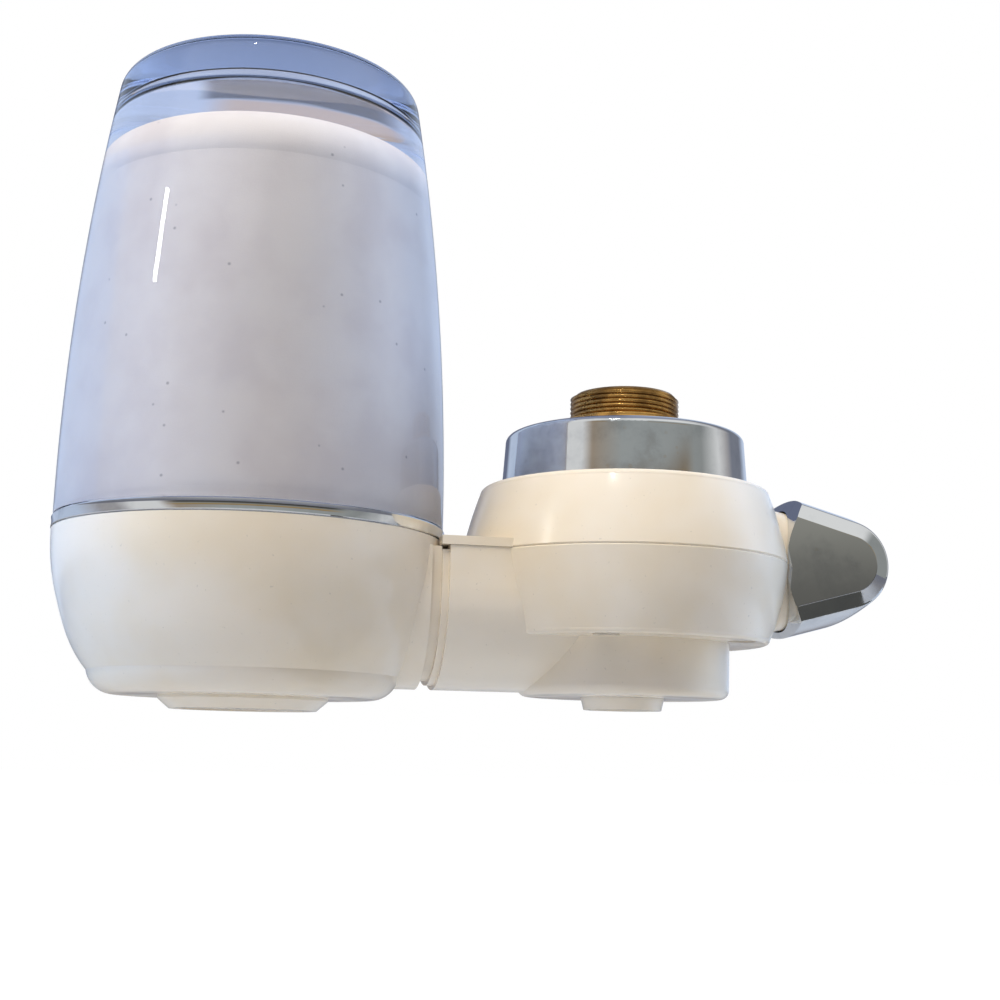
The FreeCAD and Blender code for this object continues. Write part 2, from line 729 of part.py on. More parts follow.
def make_lever():
    """Lever: tapered grip with a round nose, crowned above and below, bevelled to flat sides, bored over the boss."""
    side = lever_side - 1.0
    inset = lever_bevel / math.cos(math.atan(lever_taper))
    middle = Part.makeLoft([grip_outline(-side, lever_half, lever_tip),
                            grip_outline(0, lever_half + lever_crown, lever_tip),
                            grip_outline(side, lever_half, lever_tip)], True, False)
    ends = [Part.makeLoft([grip_outline(s * side, lever_half, lever_tip),
                           grip_outline(s * lever_side, lever_half - inset, lever_tip - lever_bevel)], True, True)
            for s in (-1, 1)]
    grip = middle.fuse(ends).removeSplitter()
    grip = grip.makeFillet(face_edge, edges_at(grip, lever_side))
    grip = grip.makeFillet(crown_edge, edges_at(grip, side))
    grip = grip.common(lever_back())
    seat = turned_x([(lever_rear - 8.0, 0), (lever_rear - 8.0, boss_r + loose), (landing, boss_r + loose),
                     (boss_end + 0.4, boss_tip_r + loose), (boss_end + 0.4, 0)])
    stem = rod_x(stem_r + 0.04, boss_end, stem_end + 0.6)
    for s in (-1, 1):
        flat = box(flat_start + 0.2, stem_end + 1, flat_half + 0.05, 8, -8, 8)
        stem = stem.cut(flat if s > 0 else flat.mirror(vec(0, 0, 0), vec(0, 1, 0)))
    screw_way = Part.makeCylinder(1.6, lever_side + 5, vec(lever_screw_x, flat_half - 0.8, 0), vec(0, 1, 0))
    return grip.cut([seat, stem, screw_way])


lever_screw_x = (flat_start + stem_end) / 2 + 0.5


def make_lever_screw():
    """Grub screw that bears on the stem's flat, sunk in the lever's far side."""
    screw = Part.makeCylinder(1.55, 5.0, vec(lever_screw_x, flat_half, 0), vec(0, 1, 0))
    key = [box(lever_screw_x - 1.0, lever_screw_x + 1.0, flat_half + 3.8, 9.5, -0.3, 0.3)]
    return screw.cut(key)


# Raw outlet

def make_raw_spout():
    """Turned outlet pressed into the pipe, tapering where it leaves the block."""
    r = spout_r
    top = spout_shelf + spout_plug_l
    bore = spout_plug_r - 1.9
    mouth = screen_r + slip
    return turned([
        (bore, top), (spout_plug_r, top), (spout_plug_r, spout_shelf), (r, spout_shelf), (r, block_low - 0.1),
        (r - 0.6, spout_low), (mouth, spout_low), (mouth, spout_shelf - 3.6), (bore, spout_shelf - 2.4)])


screen_r = spout_plug_r - 0.6


def make_spout_screen():
    low = spout_low + 0.9
    screen = rod(screen_r, low, low + screen_h)
    reach = (low - 1, low + screen_h + 1)
    holes = [rod(0.9, *reach)]
    holes += [rod(0.9, *reach, x, y) for x, y in around(6, 2.9)]
    holes += [rod(0.8, *reach, x, y) for x, y in around(12, 5.3)]
    return screen.cut(holes)


PIECES = {
    "filter_bowl": make_bowl,
    "trim_ring": make_trim_ring,
    "clear_housing": make_housing,
    "housing_seal": make_housing_seal,
    "pressure_core": make_core,
    "outlet_ring": make_outlet_ring,
    "shower_plate": make_shower_plate,
    "ceramic_shell": make_ceramic_shell,
    "cartridge_end_cap": make_end_cap,
    "cartridge_seals": make_cartridge_seals,
    "carbon_block": make_carbon_block,
    "carbon_washer": make_carbon_washer,
    "arm_collar": make_arm_collar,
    "water_nipple": make_nipple,
    "nipple_seals": make_nipple_seals,
    "joint_screws": make_joint_screws,
    "upper_cover": make_upper_cover,
    "lower_cover": make_lower_cover,
    "cover_screws": make_cover_screws,
    "coupling_nut": make_coupling_nut,
    "tap_adapter": make_adapter,
    "inlet_gasket": make_inlet_gasket,
    "inlet_strainer": make_strainer,
    "valve_body": make_valve_body,
    "valve_spindle": make_spindle,
    "spindle_seals": make_spindle_seals,
    "spindle_gland": make_gland,
    "lever": make_lever,
    "lever_screw": make_lever_screw,
    "raw_spout": make_raw_spout,
    "spout_screen": make_spout_screen,
}

for name, make in PIECES.items():
    shape = make()
    shape.translate(vec(0, 0, -outlet_face))
    shape.exportStep("parts/" + name + ".step")
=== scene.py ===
"""Looks of a faucet mount water filter: finishes, fine detail, studio light and camera."""
import logging
import math
from dataclasses import dataclass, field
from enum import Enum
from typing import Any, Iterable, Sequence

import bpy
from mathutils import Matrix, Vector


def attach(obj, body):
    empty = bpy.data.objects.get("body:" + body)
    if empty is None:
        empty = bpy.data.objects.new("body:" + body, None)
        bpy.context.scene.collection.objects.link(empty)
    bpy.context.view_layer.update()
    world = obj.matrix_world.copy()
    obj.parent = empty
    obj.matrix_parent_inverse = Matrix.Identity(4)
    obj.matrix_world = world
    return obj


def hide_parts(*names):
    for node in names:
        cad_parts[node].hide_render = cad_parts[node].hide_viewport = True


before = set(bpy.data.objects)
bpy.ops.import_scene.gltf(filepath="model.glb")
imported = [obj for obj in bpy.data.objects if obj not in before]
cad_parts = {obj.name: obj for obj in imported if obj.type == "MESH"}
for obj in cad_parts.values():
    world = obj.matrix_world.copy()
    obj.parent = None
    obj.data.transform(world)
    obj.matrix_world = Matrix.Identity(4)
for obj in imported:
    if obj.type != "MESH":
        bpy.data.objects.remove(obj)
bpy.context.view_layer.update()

log = logging.getLogger("water_filter")

MM = 0.001
OUTLET_FACE = 31.2  # height of the frame's origin above the seam of the valve covers, in mm
FILTER_X = -80.3    # axis of the filter, in mm
ON_AXIS = 1e-6      # radius in mm below which a point of an outline lies on the axis

Point = tuple[float, float]
Range = tuple[float, float]
Place = tuple[float, float, float]
Tree = bpy.types.NodeTree
Node = bpy.types.Node
Socket = bpy.types.NodeSocket


class Body(Enum):
    """Bodies that the scene's own pieces ride on."""

    VALVE = "valve"
    HOUSING = "housing"


def linear(code: str) -> tuple[float, float, float, float]:
    """Turns an sRGB hex colour into linear values.

    Args:
        code: colour as "#rrggbb".

    Returns:
        Linear red, green and blue, and an alpha of 1.
    """
    knee, slope, offset, power = 0.04045, 12.92, 0.055, 2.4
    parts = [int(code[i:i + 2], 16) / 255 for i in (1, 3, 5)]
    flat = [c / slope if c <= knee else ((c + offset) / (1 + offset)) ** power for c in parts]
    return flat[0], flat[1], flat[2], 1.0


def per_metre(size_mm: float) -> float:
    """Texture scale whose features are about size_mm wide on Object coordinates."""
    return 1.0 / (size_mm * MM)


def eased(span: Range, out: Range) -> dict[str, Any]:
    """Settings of a smooth, clamped map from one range to another."""
    return {"interpolation_type": "SMOOTHSTEP", "From Min": span[0], "From Max": span[1],
            "To Min": out[0], "To Max": out[1]}


def put(tree: Tree, kind: str, settings: dict[Any, Any] | None = None,
        links: dict[Any, Any] | None = None) -> Node:
    """Adds one node with its settings and its links.

    Args:
        tree: node tree that gets the node.
        kind: type name of the node.
        settings: values by attribute name, or by input name or number.
        links: output sockets by the name or number of the input they feed.

    Returns:
        The new node.
    """
    node = tree.nodes.new(kind)
    for key, value in (settings or {}).items():
        if isinstance(key, str) and key in node.bl_rna.properties:
            setattr(node, key, value)
        else:
            node.inputs[key].default_value = value
    for key, socket in (links or {}).items():
        tree.links.new(socket, node.inputs[key])
    return node


def layers(tree: Tree, base: str | Socket, *coats: tuple[Socket, str | Socket]) -> Socket:
    """Lays colours over a base, each as far as its share goes.

    Args:
        tree: node tree that gets the nodes.
        base: lowest colour, as a hex code or a socket.
        *coats: share and colour of each layer, from the lowest up.

    Returns:
        The colour seen from above.
    """
    for share, coat in coats:
        settings, links = {"data_type": "RGBA"}, {0: share}
        for number, colour in ((6, base), (7, coat)):
            if isinstance(colour, str):
                settings[number] = linear(colour)
            else:
                links[number] = colour
        base = put(tree, "ShaderNodeMix", settings, links).outputs[2]
    return base


# Finishes


@dataclass(frozen=True)
class Finish:
    """A named material: a Principled shader with texture on Object coordinates.

    In each finish, a field that ends in _mm is the width of a pattern's features, one in _depth is the height
    of its relief in mm, and one in _rise is the most that it adds to the roughness.
    """

    label: str
    colour: str
    roughness: float

    def material(self) -> bpy.types.Material:
        """Builds the material once and hands out the same one afterwards.

        Returns:
            The finish's material.
        """
        made = bpy.data.materials.get(self.label)
        if made is None:
            made = bpy.data.materials.new(self.label)
            made.use_nodes = True
            made.node_tree.nodes.clear()
            self.compose(made.node_tree)
        return made

    def compose(self, tree: Tree) -> None:
        """Lays out the shader, its texture and the output.

        Args:
            tree: empty node tree of the material.
        """
        place = put(tree, "ShaderNodeTexCoord").outputs["Object"]
        shader = put(tree, "ShaderNodeBsdfPrincipled",
                     {"Base Color": linear(self.colour), "Roughness": self.roughness})
        self.texture(tree, shader, place)
        put(tree, "ShaderNodeOutputMaterial", links={"Surface": shader.outputs["BSDF"]})

    def texture(self, tree: Tree, shader: Node, place: Socket) -> None:
        """Adds the detail of the surface; each finish has its own.

        Args:
            tree: node tree of the material.
            shader: Principled node to feed.
            place: Object coordinates.
        """

    @staticmethod
    def dress(tree: Tree, shader: Node, links: dict[str, Socket],
              settings: dict[str, Any] | None = None) -> None:
        """Feeds a shader and sets its plain values.

        Args:
            tree: node tree of the material.
            shader: Principled node.
            links: sockets by the name of the input they feed.
            settings: plain values by the name of the input.
        """
        for name, socket in links.items():
            tree.links.new(socket, shader.inputs[name])
        for name, value in (settings or {}).items():
            shader.inputs[name].default_value = value

    @staticmethod
    def clouds(tree: Tree, place: Socket, size_mm: float, span: Range, out: Range,
               detail: float = 3.0, grit: float = 0.5) -> Socket:
        """Soft patches, as noise that is mapped from one range to another.

        Args:
            tree: node tree of the material.
            place: coordinates.
            size_mm: width of a patch.
            span: values of the noise, which lie round 0.5, at the start and end of the map.
            out: values at the map's start and end.
            detail: octaves of the noise.
            grit: strength of the finer octaves.

        Returns:
            The mapped value.
        """
        settings = {"Scale": per_metre(size_mm), "Detail": detail, "Roughness": grit}
        noise = put(tree, "ShaderNodeTexNoise", settings, {"Vector": place})
        mapped = put(tree, "ShaderNodeMapRange", eased(span, out), {"Value": noise.outputs["Fac"]})
        return mapped.outputs["Result"]

    @staticmethod
    def lumps(tree: Tree, place: Socket, size_mm: float, depth_mm: float, detail: float = 2.0,
              grit: float = 0.5, strength: float = 1.0, under: Socket | None = None) -> Socket:
        """Relief of soft lumps.

        Args:
            tree: node tree of the material.
            place: coordinates.
            size_mm: width of a lump.
            depth_mm: height of the relief.
            detail: octaves of the noise.
            grit: strength of the finer octaves.
            strength: share of the relief that shows.
            under: another relief that this one lies on.

        Returns:
            The bent normal.
        """
        settings = {"Scale": per_metre(size_mm), "Detail": detail, "Roughness": grit}
        noise = put(tree, "ShaderNodeTexNoise", settings, {"Vector": place})
        links = {"Height": noise.outputs["Fac"]}
        if under is not None:
            links["Normal"] = under
        bump = put(tree, "ShaderNodeBump", {"Distance": depth_mm * MM, "Strength": strength}, links)
        return bump.outputs["Normal"]


@dataclass(frozen=True)
class GlossAbs(Finish):
    """ABS, injection moulded in a polished tool: sharp gloss over a faint waviness, slightly yellowed."""

    aged: str = "#ead8b8"
    dust: str = "#b9b2a6"
    aged_mm: float = 26.0
    dust_mm: float = 0.7
    smudge_mm: float = 11.0
    smudge_rise: float = 0.12
    wave_mm: float = 7.0
    wave_depth: float = 0.05
    skin_mm: float = 0.5
    skin_depth: float = 0.004
    index: float = 1.53
    milkiness: float = 0.06
    milky_reach: float = 1.2
    milky_spread: Place = (1.0, 0.8, 0.6)

    def texture(self, tree: Tree, shader: Node, place: Socket) -> None:
        """Adds yellowing, specks of dust, smudges in the gloss and the waviness of the moulding."""
        tint = self.clouds(tree, place, self.aged_mm, (0.35, 0.7), (0.0, 0.55))
        speck = self.clouds(tree, place, self.dust_mm, (0.70, 0.78), (0.0, 0.35), detail=2.0)
        smudge = self.clouds(tree, place, self.smudge_mm, (0.4, 0.7),
                             (self.roughness, self.roughness + self.smudge_rise), detail=4.0)
        wave = self.lumps(tree, place, self.wave_mm, self.wave_depth, detail=1.0, strength=0.35)
        skin = self.lumps(tree, place, self.skin_mm, self.skin_depth, strength=0.5, under=wave)
        colour = layers(tree, self.colour, (tint, self.aged), (speck, self.dust))
        self.dress(tree, shader, {"Base Color": colour, "Roughness": smudge, "Normal": skin},
                   {"IOR": self.index, "Subsurface Weight": self.milkiness,
                    "Subsurface Radius": self.milky_spread, "Subsurface Scale": self.milky_reach * MM})


@dataclass(frozen=True)
class ChromePlate(Finish):
    """Bright chrome plate on a polished part: near mirror, with dried drops and a slight waviness."""

    mark: str = "#c3c6ca"
    haze_mm: float = 9.0
    haze_rise: float = 0.07
    drop_mm: float = 3.4
    drop_edge: Range = (0.10, 0.16)
    drop_rise: float = 0.07
    wave_mm: float = 12.0
    wave_depth: float = 0.05

    def texture(self, tree: Tree, shader: Node, place: Socket) -> None:
        """Adds the marks of dried drops, wiping haze and the polisher's waviness."""
        haze = self.clouds(tree, place, self.haze_mm, (0.42, 0.72), (0.0, 1.0), detail=5.0, grit=0.6)
        spots = put(tree, "ShaderNodeTexVoronoi", {"feature": "F1", "Scale": per_metre(self.drop_mm)},
                    {"Vector": place})
        ring = put(tree, "ShaderNodeMapRange", eased(self.drop_edge, (self.drop_rise, 0.0)),
                   {"Value": spots.outputs["Distance"]})
        wiped = put(tree, "ShaderNodeMapRange",
                    eased((0.0, 1.0), (self.roughness, self.roughness + self.haze_rise)), {"Value": haze})
        both = put(tree, "ShaderNodeMath", {"operation": "ADD"},
                   {0: ring.outputs["Result"], 1: wiped.outputs["Result"]})
        wave = self.lumps(tree, place, self.wave_mm, self.wave_depth, detail=1.0, strength=0.3)
        self.dress(tree, shader, {"Base Color": layers(tree, self.colour, (haze, self.mark)),
                                  "Roughness": both.outputs["Value"], "Normal": wave}, {"Metallic": 1.0})


@dataclass(frozen=True)
class TurnedBrass(Finish):
    """Free-cutting brass, turned on a lathe: fine feed lines round the axis and a brown tarnish."""

    tarnish: str = "#7a5a34"
    tarnish_mm: float = 5.0
    tarnish_most: float = 0.75
    dull_rise: float = 0.2
    feed_mm: float = 0.35
    feed_depth: float = 0.012

    def texture(self, tree: Tree, shader: Node, place: Socket) -> None:
        """Adds tarnish, feed lines drawn coarse enough to show, and a burnished sheen."""
        stain = self.clouds(tree, place, self.tarnish_mm, (0.40, 0.68), (0.0, self.tarnish_most),
                            detail=5.0, grit=0.6)
        dull = put(tree, "ShaderNodeMapRange",
                   eased((0.0, self.tarnish_most), (self.roughness, self.roughness + self.dull_rise)),
                   {"Value": stain})
        lines = put(tree, "ShaderNodeTexWave", {
            "bands_direction": "Z", "Scale": per_metre(self.feed_mm) / math.tau, "Distortion": 0.4,
            "Detail": 1.0}, {"Vector": place})
        relief = put(tree, "ShaderNodeBump", {"Distance": self.feed_depth * MM, "Strength": 1.0},
                     {"Height": lines.outputs["Fac"]})
        self.dress(tree, shader, {"Base Color": layers(tree, self.colour, (stain, self.tarnish)),
                                  "Roughness": dull.outputs["Result"], "Normal": relief.outputs["Normal"]},
                   {"Metallic": 1.0})


@dataclass(frozen=True)
class FiredCeramic(Finish):
    """Diatomite ceramic, slip cast and fired: dead matt, chalky, full of fine pores, with a few specks."""

    shade: str = "#dccdc1"
    speck: str = "#8d817a"
    cloud_mm: float = 14.0
    speck_mm: float = 6.0
    speck_edge: Range = (0.03, 0.07)
    speck_most: float = 0.55
    pore_mm: float = 0.45
    pore_depth: float = 0.05
    ring_mm: float = 1.6
    ring_depth: float = 0.01
    sheen: float = 0.25

    def texture(self, tree: Tree, shader: Node, place: Socket) -> None:
        """Adds cloudy shade, single specks, pores and the faint rings left by the sizing tool."""
        cloud = self.clouds(tree, place, self.cloud_mm, (0.35, 0.7), (0.0, 0.6), detail=4.0)
        grains = put(tree, "ShaderNodeTexVoronoi", {"Scale": per_metre(self.speck_mm), "Randomness": 1.0},
                     {"Vector": place})
        spot = put(tree, "ShaderNodeMapRange", eased(self.speck_edge, (self.speck_most, 0.0)),
                   {"Value": grains.outputs["Distance"]})
        pores = self.lumps(tree, place, self.pore_mm, self.pore_depth, detail=4.0, grit=0.65, strength=0.6)
        rings = put(tree, "ShaderNodeTexWave", {
            "bands_direction": "Z", "Scale": per_metre(self.ring_mm) / math.tau, "Distortion": 1.5,
            "Detail": 2.0}, {"Vector": place})
        relief = put(tree, "ShaderNodeBump", {"Distance": self.ring_depth * MM, "Strength": 0.5},
                     {"Height": rings.outputs["Fac"], "Normal": pores})
        colour = layers(tree, self.colour, (cloud, self.shade), (spot.outputs["Result"], self.speck))
        self.dress(tree, shader, {"Base Color": colour, "Normal": relief.outputs["Normal"]},
                   {"Specular IOR Level": self.sheen})


@dataclass(frozen=True)
class MouldedPlastic(Finish):
    """Acetal or polypropylene for inner parts: satin, slightly waxy, with flow marks."""

    flow: str = "#c9c8c2"
    flow_mm: float = 8.0
    flow_most: float = 0.6
    dull_rise: float = 0.15
    skin_mm: float = 0.35
    skin_depth: float = 0.01
    waxiness: float = 0.08
    waxy_reach: float = 1.0

    def texture(self, tree: Tree, shader: Node, place: Socket) -> None:
        """Adds flow marks in colour and gloss, and a spark-eroded skin."""
        marks = self.clouds(tree, place, self.flow_mm, (0.4, 0.7), (0.0, self.flow_most))
        dull = put(tree, "ShaderNodeMapRange",
                   eased((0.0, self.flow_most), (self.roughness, self.roughness + self.dull_rise)),
                   {"Value": marks})
        skin = self.lumps(tree, place, self.skin_mm, self.skin_depth, strength=0.5)
        self.dress(tree, shader, {"Base Color": layers(tree, self.colour, (marks, self.flow)),
                                  "Roughness": dull.outputs["Result"], "Normal": skin},
                   {"Subsurface Weight": self.waxiness, "Subsurface Scale": self.waxy_reach * MM})


@dataclass(frozen=True)
class MouldedRubber(Finish):
    """Nitrile rubber, compression moulded: dark, soft sheen, with a bloom of talc."""

    bloom: str = "#5b5a58"
    bloom_mm: float = 2.5
    grain_mm: float = 0.3
    grain_depth: float = 0.015

    def texture(self, tree: Tree, shader: Node, place: Socket) -> None:
        """Adds the bloom and a fine grain."""
        dust = self.clouds(tree, place, self.bloom_mm, (0.5, 0.75), (0.0, 0.5), detail=4.0)
        grain = self.lumps(tree, place, self.grain_mm, self.grain_depth, strength=0.6)
        colour = layers(tree, self.colour, (dust, self.bloom))
        self.dress(tree, shader, {"Base Color": colour, "Normal": grain})


@dataclass(frozen=True)
class PunchedSteel(Finish):
    """Stainless steel, rolled and punched: grey, brushed one way, with soft stains."""

    stain: str = "#8f8d88"
    stain_mm: float = 3.5
    brush_mm: float = 1.6
    brush_depth: float = 0.006
    drawn_out: float = 14.0
    dull_rise: float = 0.15

    def texture(self, tree: Tree, shader: Node, place: Socket) -> None:
        """Adds the rolling grain and stains."""
        dull = self.clouds(tree, place, self.stain_mm, (0.4, 0.7), (0.0, 0.6), detail=4.0)
        drawn = put(tree, "ShaderNodeMapping", {"Scale": (1.0, self.drawn_out, 1.0)},
                    {"Vector": place}).outputs["Vector"]
        rough = self.clouds(tree, drawn, self.brush_mm, (0.3, 0.7),
                            (self.roughness, self.roughness + self.dull_rise))
        brush = self.lumps(tree, drawn, self.brush_mm, self.brush_depth, detail=3.0, strength=0.6)
        self.dress(tree, shader, {"Base Color": layers(tree, self.colour, (dull, self.stain)),
                                  "Roughness": rough, "Normal": brush}, {"Metallic": 1.0})


@dataclass(frozen=True)
class PressedCarbon(Finish):
    """Activated carbon granules, pressed with a binder: black, crumbly, with glints."""

    glint: str = "#4a4a4c"
    granule_mm: float = 0.8
    granule_depth: float = 0.3

    def texture(self, tree: Tree, shader: Node, place: Socket) -> None:
        """Adds granules, each with its own shade."""
        grains = put(tree, "ShaderNodeTexVoronoi", {"Scale": per_metre(self.granule_mm)}, {"Vector": place})
        shade = put(tree, "ShaderNodeSeparateColor", links={"Color": grains.outputs["Color"]})
        lit = put(tree, "ShaderNodeMapRange", eased((0.7, 1.0), (0.0, 0.8)), {"Value": shade.outputs["Red"]})
        relief = put(tree, "ShaderNodeBump", {"Distance": self.granule_depth * MM, "Strength": 1.0},
                     {"Height": grains.outputs["Distance"]})
        colour = layers(tree, self.colour, (lit.outputs["Result"], self.glint))
        self.dress(tree, shader, {"Base Color": colour, "Normal": relief.outputs["Normal"]})


@dataclass(frozen=True)
class ClearStyrene(Finish):
    """Clear styrene, injection moulded and polished: outside against air, inside as when filled.

    The attribute "wet" marks the wall's inner face. There the index is the ratio between the plastic and what
    the housing holds in use, so the cartridge looks as wide as the housing.
    """

    index: float = 1.50
    wet_index: float = 1.128
    haze_mm: float = 15.0
    haze_rise: float = 0.02
    flow_mm: float = 16.0
    flow_depth: float = 0.06
    depth_colour: str = "#86bcf8"
    depth_per_m: float = 15.0
    lamp_tint: str = "#fdfdff"

    def compose(self, tree: Tree) -> None:
        """Lays out two clear shaders, the depth colour, and a way in for the lamps' light."""
        place = put(tree, "ShaderNodeTexCoord").outputs["Object"]
        haze = self.clouds(tree, place, self.haze_mm, (0.5, 0.8),
                           (self.roughness, self.roughness + self.haze_rise), detail=5.0, grit=0.6)
        flow = self.lumps(tree, place, self.flow_mm, self.flow_depth, detail=1.0, strength=0.25)
        shaders = [put(tree, "ShaderNodeBsdfPrincipled",
                       {"Base Color": linear(self.colour), "IOR": index, "Transmission Weight": 1.0},
                       {"Roughness": haze, "Normal": flow}).outputs["BSDF"]
                   for index in (self.index, self.wet_index)]
        wet = put(tree, "ShaderNodeAttribute", {"attribute_name": "wet"}).outputs["Fac"]
        clear = put(tree, "ShaderNodeMixShader", links={0: wet, 1: shaders[0], 2: shaders[1]})
        lamps = put(tree, "ShaderNodeBsdfTransparent", {"Color": linear(self.lamp_tint)})
        kind = put(tree, "ShaderNodeLightPath").outputs["Is Shadow Ray"]
        surface = put(tree, "ShaderNodeMixShader", links={0: kind, 1: clear.outputs[0], 2: lamps.outputs[0]})
        depth = put(tree, "ShaderNodeVolumeAbsorption",
                    {"Color": linear(self.depth_colour), "Density": self.depth_per_m})
        put(tree, "ShaderNodeOutputMaterial",
            links={"Surface": surface.outputs[0], "Volume": depth.outputs[0]})


SHELL = GlossAbs("abs_gloss_moulded", "#f3e9d9", 0.13)
CHROME = ChromePlate("chrome_plate_polished", "#d8dadc", 0.03)
BRASS = TurnedBrass("brass_turned", "#c79a58", 0.22)
CERAMIC = FiredCeramic("diatomite_ceramic_fired", "#ecdfd0", 0.9)
CARBON = PressedCarbon("carbon_pressed", "#161616", 0.8)
RUBBER = MouldedRubber("nitrile_rubber_moulded", "#1b1b1c", 0.55)
STEEL = PunchedSteel("stainless_steel_rolled", "#b9b9b6", 0.25)
ACETAL = MouldedPlastic("acetal_moulded", "#e2e1dc", 0.4)
BLUE = MouldedPlastic("polypropylene_blue_moulded", "#5f7ea6", 0.4, flow="#567399")
CLEAR = ClearStyrene("styrene_clear_moulded", "#f2f6ff", 0.0)

# CAD nodes that stay in view, by their finish.
CARRIED = {
    SHELL: ("filter_bowl", "outlet_ring", "shower_plate", "arm_collar", "upper_cover", "lower_cover",
            "raw_spout"),
    CHROME: ("trim_ring", "coupling_nut", "lever"),
    BRASS: ("tap_adapter", "valve_spindle"),
    CERAMIC: ("ceramic_shell",),
    CARBON: ("carbon_block",),
    RUBBER: ("housing_seal", "cartridge_seals", "carbon_washer", "nipple_seals", "inlet_gasket",
             "spindle_seals"),
    STEEL: ("joint_screws", "cover_screws", "inlet_strainer", "lever_screw"),
    ACETAL: ("pressure_core", "water_nipple", "valve_body", "spindle_gland", "spout_screen"),
    BLUE: ("cartridge_end_cap",),
}


# Shapes


def arc(start: Point, middle: Point, end: Point, steps: int) -> list[Point]:
    """Points after start along the circle through three points.

    Args:
        start: first point, which is left out of the result.
        middle: a point on the arc.
        end: last point.
        steps: number of chords.

    Returns:
        The points from the first chord's end to the arc's end.
    """
    (ax, ay), (bx, by), (cx, cy) = start, middle, end
    a, b, c = (x * x + y * y for x, y in (start, middle, end))
    d = 2 * (ax * (by - cy) + bx * (cy - ay) + cx * (ay - by))
    ux = (a * (by - cy) + b * (cy - ay) + c * (ay - by)) / d
    uy = (a * (cx - bx) + b * (ax - cx) + c * (bx - ax)) / d
    radius = math.hypot(ax - ux, ay - uy)
    first, mid, last = (math.atan2(y - uy, x - ux) for x, y in (start, middle, end))
    sweep = (last - first) % math.tau
    if (mid - first) % math.tau > sweep:
        sweep -= math.tau
    turns = [first + sweep * k / steps for k in range(1, steps + 1)]
    return [(ux + radius * math.cos(turn), uy + radius * math.sin(turn)) for turn in turns]


def shown(name: str, mesh: bpy.types.Mesh) -> bpy.types.Object:
    """Puts a mesh into the scene as an object at the origin.

    Args:
        name: name of the object.
        mesh: its mesh.

    Returns:
        The object.
    """
    piece = bpy.data.objects.new(name, mesh)
    bpy.context.scene.collection.objects.link(piece)
    return piece


def lathe(name: str, outline: Sequence[Point], x: float = 0.0, steps: int = 256,
          marked: Iterable[int] = ()) -> bpy.types.Object:
    """Turns a closed outline about an upright axis.

    Args:
        name: name of the piece.
        outline: radius and height in mm above the covers' seam, running up the outside and down the inside.
        x: place of the axis in mm.
        steps: faces round the axis.
        marked: numbers of the outline's points that get the attribute "wet".

    Returns:
        A piece with smooth faces that point outwards, in the frame's place.
    """
    verts, rings = [], []
    for radius, height in outline:
        z = (height - OUTLET_FACE) * MM
        if radius < ON_AXIS:
            rings.append([len(verts)] * steps)
            verts.append((x * MM, 0.0, z))
            continue
        rings.append(list(range(len(verts), len(verts) + steps)))
        for k in range(steps):
            a = math.tau * k / steps
            verts.append(((x + radius * math.cos(a)) * MM, radius * math.sin(a) * MM, z))
    faces = []
    for low, high in zip(rings, rings[1:] + rings[:1]):
        for k in range(steps):
            n = (k + 1) % steps
            corners = list(dict.fromkeys((low[k], low[n], high[n], high[k])))
            if len(corners) > 2:
                faces.append(corners)
    mesh = bpy.data.meshes.new(name)
    mesh.from_pydata(verts, [], faces)
    chosen = set(marked)
    wet = mesh.attributes.new("wet", "FLOAT", "POINT")
    for number, ring in enumerate(rings):
        for v in ring:
            wet.data[v].value = 1.0 if number in chosen else 0.0
    mesh.shade_smooth()
    return shown(name, mesh)


def crisp(piece: bpy.types.Object, angle: float) -> None:
    """Keeps edges sharper than the angle, in degrees, sharp in the shading."""
    piece.data.set_sharp_from_angle(angle=math.radians(angle))


def settle(piece: bpy.types.Object, body: Body, finish: Finish, slot: str, *nodes: str) -> None:
    """Gives a finished piece its material and its body.

    Args:
        piece: object at the origin with its place in its mesh.
        body: body that carries it.
        finish: finish of its surface.
        slot: not used.
        *nodes: CAD nodes that it stands for.
    """
    piece.data.materials.clear()
    piece.data.materials.append(finish.material())
    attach(piece, body.value)
    if nodes:
        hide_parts(*nodes)
    log.info("%s: %d faces on %s", piece.name, len(piece.data.polygons), body.value)


# Geometry Nodes


